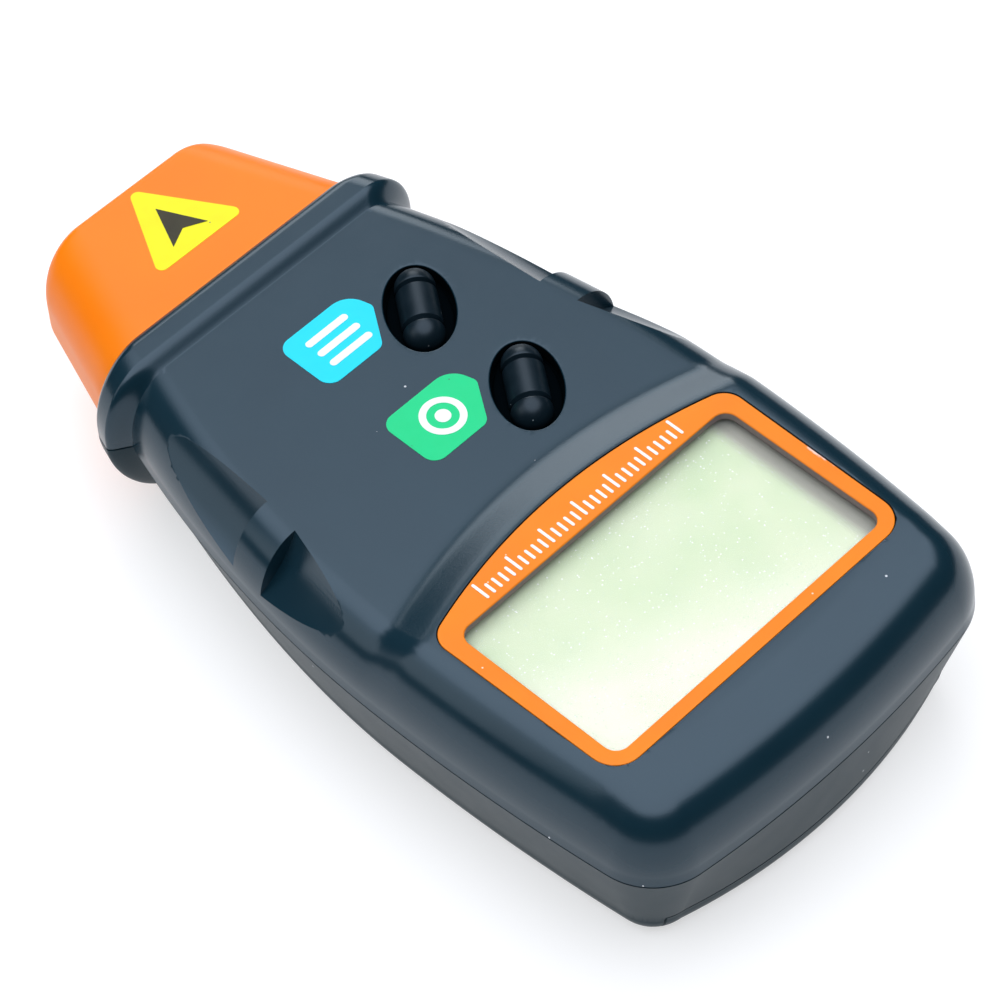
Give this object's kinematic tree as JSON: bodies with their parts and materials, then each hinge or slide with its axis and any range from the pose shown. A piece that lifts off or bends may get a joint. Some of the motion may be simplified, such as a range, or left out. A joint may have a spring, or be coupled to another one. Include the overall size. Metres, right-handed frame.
{
  "type": "laser tachometer",
  "caption": "Hand-held laser tachometer: tapered slate body with grip scoops and a flared collar, orange nose cap with an optics slot, framed display, oval push keys, sliding battery door.",
  "frame": {"origin": "under the middle of the instrument, on the plane its back lies on", "axes": "+X to the right seen from the face with the nose up, +Y from the tail to the nose, +Z from the back to the face"},
  "size_m": [0.07, 0.131, 0.029],
  "materials": {
    "slate_plastic": "fine matt texture, moulded",
    "orange_plastic": "satin gloss, moulded",
    "orange_frame": "satin, moulded",
    "clear_plastic": "clear, polished",
    "display_glass": "pale green reflective display",
    "black_gloss": "polished",
    "black_plastic": "matt",
    "white_plastic": "matt",
    "board_green": "lacquered laminate",
    "grey_rubber": "matt",
    "brass": "turned",
    "steel": "bright zinc plate",
    "lens_glass": "polished",
    "battery_jacket": "printed metal jacket, plain"
  },
  "bodies": {
    "housing": {"front_shell": "slate_plastic", "rear_shell": "slate_plastic", "nose_cap": "orange_plastic", "display_frame": "orange_frame", "display_window": "clear_plastic", "optics_window": "clear_plastic", "lcd_panel": "display_glass", "light_sensor": "black_gloss", "controller_chip": "black_plastic", "optics_holder": "black_plastic", "lcd_bracket": "white_plastic", "circuit_board": "board_green", "sensor_board": "board_green", "zebra_strip_front": "grey_rubber", "zebra_strip_rear": "grey_rubber", "laser_module": "brass", "upper_key_switch": "steel", "lower_key_switch": "steel", "small_contact": "steel", "large_contact": "steel", "housing_screw_nose_left": "steel", "housing_screw_nose_right": "steel", "housing_screw_middle_left": "steel", "housing_screw_middle_right": "steel", "board_screw_front": "steel", "board_screw_rear": "steel", "laser_lens": "lens_glass", "collecting_lens": "lens_glass", "battery": "battery_jacket"},
    "upper_key": {"upper_key": "black_gloss"},
    "lower_key": {"lower_key": "black_gloss"},
    "battery_door": {"battery_door": "slate_plastic"}
  },
  "joints": [
    {"name": "upper_key_press", "type": "slide", "parent": "housing", "child": "upper_key", "axis": [0, 0, -1], "range_m": [0, 0.0007], "stiffness_N_per_m": 1500, "springref_m": -0.0003},
    {"name": "lower_key_press", "type": "slide", "parent": "housing", "child": "lower_key", "axis": [0, 0, -1], "range_m": [0, 0.0007], "stiffness_N_per_m": 1500, "springref_m": -0.0003},
    {"name": "battery_door_slide", "type": "slide", "parent": "housing", "child": "battery_door", "axis": [0, -1, 0], "range_m": [0, 0.036]}
  ]
}
